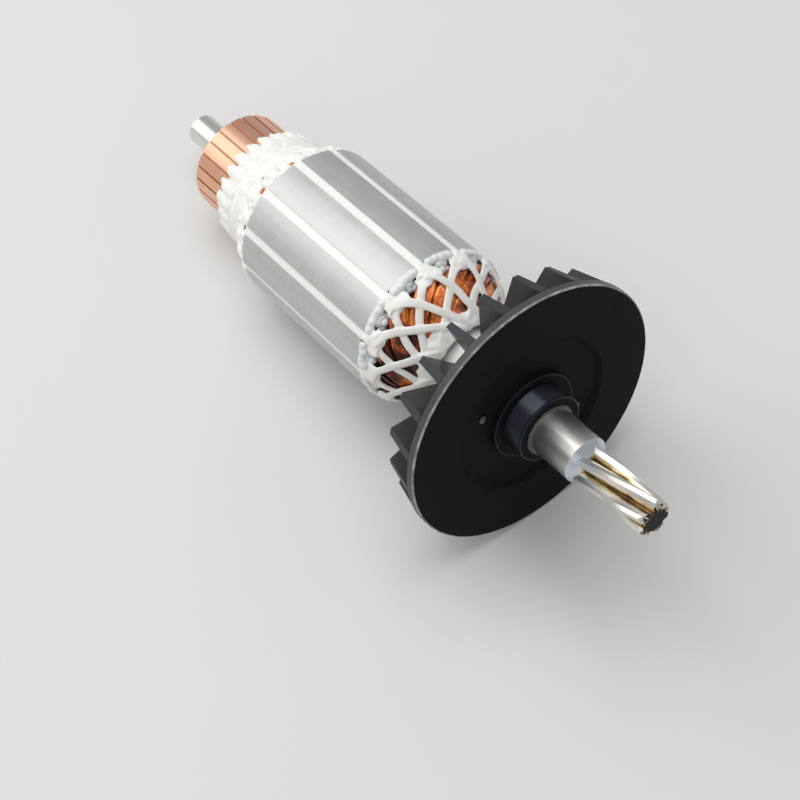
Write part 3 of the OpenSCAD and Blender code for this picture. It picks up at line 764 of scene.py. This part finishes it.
def nose_mass(rows=16, columns=240):
    """A collar of varnished turns over the nose: a closed shell between the winding and a
    height that grows with the square root of the way from the collar's edge to the nose. The
    edge lies lower on one side, by a cosine of the turn, and both wander in sine waves."""
    turn = np.linspace(0, 360, columns, endpoint=False)[None, :]
    share = np.linspace(0, 1, rows)[:, None]
    edge = 0.84 - 0.17 * np.cos(np.radians(turn - 218))
    lumps = np.zeros((rows, columns))
    for _ in range(16):
        round_waves = random.integers(3, 30)
        phase = random.uniform(0, 2 * np.pi, 2)
        around = np.sin(np.radians(turn) * round_waves + phase[0])
        edge = edge + 0.006 * around
        lumps += around * np.sin(2 * np.pi * random.uniform(0.3, 1.5) * share + phase[1])
    at = edge + (1 - edge) * share
    lift = (0.25 + 0.95 * np.sqrt(share) + 0.05 * lumps) * MM
    turn = turn + 0 * at
    loop = np.concatenate([dome(at, turn, lift), dome(at, turn, 0 * lift)[::-1]])
    return place(loop).reshape(-1, 3), grid_faces(2 * rows, columns, True, True), []


def fan_end_lacing():
    """Cords, slot masses and nose turns melted into one varnished net."""
    parts = [cord_family(FORWARD_TURN, 1, 0.62 * MM), cord_family(BACK_TURN, -1, 0.88 * MM),
             slot_bridge(), nose_mass(),
             nose_ring(CORE_FRONT + OVERHANG_DRIVE - 0.6 * MM, SLEEVE_R + 1.3 * MM, 0.8 * MM)]
    piece = make_piece("drive_end_net", *merge_parts(parts))
    melt(piece, 0.2 * MM, 4)
    finish_piece(piece, CORD, "lacing_cord", "drive_end_lacing")


# ---- Binding at the commutator end ---------------------------------------------------------


def binding_skin(rows=60, columns=300):
    """A closed shell of revolution over the coils and leads: its outer radius falls from the
    core's edge to the commutator and carries lumps, sums of sines along and round it; dips at
    the slots' ends let the copper show."""
    out = np.linspace(0.25, 15.0, rows)[:, None] * MM
    turn = np.linspace(0, 360, columns, endpoint=False)[None, :]
    radius = np.interp(out / MM, [0.25, 1.0, 2.2, 3.6, 5.0, 7.0, 10.0, 13.0, 15.0],
                       [16.7, 17.0, 16.8, 16.1, 15.0, 14.1, 13.5, 13.1, 12.7]) * MM
    lumps = np.zeros((rows, columns))
    for _ in range(34):
        round_waves = random.integers(5, 46)
        long_waves = random.uniform(0.5, 5.0)
        phase = random.uniform(0, 2 * np.pi, 2)
        lumps += (np.sin(np.radians(turn) * round_waves + phase[0])
                  * np.sin(2 * np.pi * long_waves * out / (14 * MM) + phase[1]))
    radius = radius + lumps * 0.085 * MM
    beside = (turn - 1.5 + SLOT_STEP / 2) % SLOT_STEP - SLOT_STEP / 2
    dip = 2.2 * np.exp(-(beside / 2.3) ** 2 - ((out / MM - 2.1) / 0.8) ** 2)
    hole_turn = (turn - 22.5 + SLOT_STEP * 3) % (SLOT_STEP * 6) - SLOT_STEP * 3
    dip = dip + 2.6 * np.exp(-(hole_turn / 2.0) ** 2 - ((out / MM - 3.2) / 0.7) ** 2)
    radius = radius - dip * MM
    outer = polar(radius, turn, CORE_BACK - out)
    inner = polar(radius - 1.0 * MM, turn, CORE_BACK - out)
    loop = np.concatenate([outer, inner[::-1]])
    quads = grid_faces(2 * rows, columns, True, True)
    return place(loop).reshape(-1, 3), quads, []


def hook_lumps(rings=10):
    """A rounded lump of sleeve and varnish over each hook, nearly touching its neighbours."""
    at = np.linspace(0, 1, rings)
    bars = (BAR_PHASE + np.arange(BARS) * BAR_STEP)[:, None]
    length = random.uniform(16.9, 17.9, (BARS, 1)) * MM
    out = 11.5 * MM + (length - 11.5 * MM) * at
    radius = COMM_R + (1.4 - 0.45 * at ** 2) * MM + np.zeros((BARS, 1))
    turn = bars + random.normal(0, 0.9, (BARS, 1)) + wobble(BARS, rings, 2, 0.8)
    paths, lean = over_shaft(radius, turn, CORE_BACK - out)
    round_end = np.sqrt(np.maximum(0.02, 1 - at ** 7))
    size = random.uniform(1.35, 1.7, (BARS, 1)) * round_end * MM
    return tubes(paths, lean, size, size * 0.62, sides=10)


def binding_turns(count=7, rings=140):
    """Cord turns side by side round the leads, each wandering on its own."""
    at = np.linspace(0, 1, rings)
    out = np.linspace(5.2, 13.4, count)[:, None] * MM + wobble(count, rings, 6, 0.25 * MM)
    radius = np.interp(out / MM, [5.0, 7.0, 10.0, 14.0], [14.7, 13.9, 13.4, 13.0]) * MM
    radius = radius + wobble(count, rings, 9, 0.12 * MM)
    turn = at * 360 + np.zeros((count, 1))
    paths, lean = over_shaft(radius, turn, CORE_BACK - out)
    return tubes(paths, lean, 0.62 * MM, 0.55 * MM, sides=8)


def slot_ties(rings=16):
    """Two cords from beside every slot's end, splayed over the coils to the first turns."""
    at = np.linspace(0, 1, rings)
    slots = np.repeat(np.arange(SLOTS) * SLOT_STEP, 2)[:, None]
    side = np.tile([-1.0, 1.0], SLOTS)[:, None]
    spread = random.uniform(4, 10, (2 * SLOTS, 1))
    out = (0.8 + 5.2 * at + np.zeros((2 * SLOTS, 1))) * MM
    radius = np.interp(out / MM, [0.3, 2.4, 3.6, 6.0], [17.1, 16.9, 16.3, 14.5]) * MM
    turn = slots + 1.5 + side * (5.6 + spread * at) + wobble(2 * SLOTS, rings, 3, 0.6)
    paths, lean = over_shaft(radius, turn, CORE_BACK - out)
    return tubes(paths, lean, 0.85 * MM, 0.5 * MM, sides=10, square=2.4)


def commutator_end_binding():
    """Skin, turns, ties and lumps melted into one fuzzy white mass."""
    parts = [binding_skin(), hook_lumps(), binding_turns(), slot_ties()]
    parts += tooth_lumps(CORE_BACK, -1, 0.05 * MM, 0.1 * MM)
    piece = make_piece("commutator_end_binding", *merge_parts(parts))
    melt(piece, 0.26 * MM, 2)
    finish_piece(piece, BINDING, "lacing_cord", "commutator_end_lacing", "coil_leads")


# ---- Rounded edges of the fan --------------------------------------------------------------


def edge_round(radius, z, size, sides=10, columns=180):
    """A thin ring along a turned edge: a torus with its middle inside the edge."""
    around = np.linspace(0, 2 * np.pi, sides, endpoint=False)[:, None]
    turn = np.linspace(0, 360, columns, endpoint=False)[None, :]
    points = polar(radius + size * np.cos(around), turn, z + size * np.sin(around))
    return place(points).reshape(-1, 3), grid_faces(sides, columns, True, True), []


def pip_cap(turn, rows=10, columns=24):
    """The low dome on top of a pip: half an ellipsoid, closed by a flat underside."""
    polar_angle = np.linspace(0.02, np.pi / 2, rows)[:, None]
    around = np.linspace(0, 2 * np.pi, columns, endpoint=False)[None, :]
    middle = polar(PIP_RING_R, turn, -RECESS_DEPTH + 0.15 * MM)
    cap = np.stack([PIP_R * np.sin(polar_angle) * np.cos(around),
                    PIP_R * np.sin(polar_angle) * np.sin(around),
                    0.55 * PIP_R * np.cos(polar_angle) + 0 * around], axis=-1)
    rim = (rows - 1) * columns
    ends = [list(range(columns)), list(range(rim + columns - 1, rim - 1, -1))]
    quads = grid_faces(rows, columns, False, True)[:, ::-1]
    return place(middle + cap).reshape(-1, 3), quads, ends


def fan_rounds():
    """Rounded edges of the boss and its base, and the domed ends of the pips."""
    edges = [edge_round(BOSS_BASE_R - 0.2 * MM, 0.0, 0.26 * MM),
             edge_round(BOSS_R - 0.3 * MM, BOSS_H - 0.3 * MM, 0.33 * MM)]
    finish_piece(make_piece("boss_edges", *merge_parts(edges)), ARRIS, "fan_plastic")
    caps = [pip_cap(PIP_PHASE), pip_cap(PIP_PHASE + 180)]
    finish_piece(make_piece("pip_caps", *merge_parts(caps)), POLISHED, "fan_plastic")


winding("drive_end_wires", CORE_FRONT, 1, OVERHANG_DRIVE)
winding("commutator_end_wires", CORE_BACK, -1, OVERHANG_COMM)
fan_end_lacing()
fan_end_lumps()
commutator_end_binding()
fan_rounds()

# ---- Floor and lights ----------------------------------------------------------------------


def floor():
    """A pale plane under the part, far wider than the view."""
    corners = np.array([[-3, -3, 0], [3, -3, 0], [3, 3, 0], [-3, 3, 0]], float)
    piece = make_piece("floor", corners, [[0, 1, 2, 3]])
    f = Finish("floor_card")
    f.set(Base_Color=(0.72, 0.72, 0.715), Roughness=0.6)
    piece.data.materials.append(f.material)


def area_light(name, direction, distance, size, watts):
    """A square lamp that shines on the part from a direction."""
    data = bpy.data.lights.new(name, "AREA")
    data.size = size
    data.energy = watts
    lamp = bpy.data.objects.new(name, data)
    bpy.context.collection.objects.link(lamp)
    back = np.array(direction, float) / np.linalg.norm(direction)
    right = np.cross([0.3, 0.9, 0.1], back)
    right /= np.linalg.norm(right)
    matrix = np.eye(4)
    matrix[:3, 0], matrix[:3, 1], matrix[:3, 2] = right, np.cross(back, right), back
    matrix[:3, 3] = back * distance
    lamp.matrix_world = Matrix(matrix)


floor()
area_light("key", (-0.70, -0.36, 0.60), 0.9, 0.8, 2.9)
area_light("top", (-0.16, 0.0, 0.98), 0.9, 0.7, 3.4)
area_light("fill", (0.9, -0.9, 0.8), 0.9, 0.7, 0.6)
world = bpy.data.worlds.new("room")
bpy.context.scene.world = world
world.use_nodes = True
world.node_tree.nodes["Background"].inputs[0].default_value = (1.0, 1.0, 1.0, 1.0)
world.node_tree.nodes["Background"].inputs[1].default_value = 0.45
bpy.context.scene.view_settings.view_transform = "Standard"
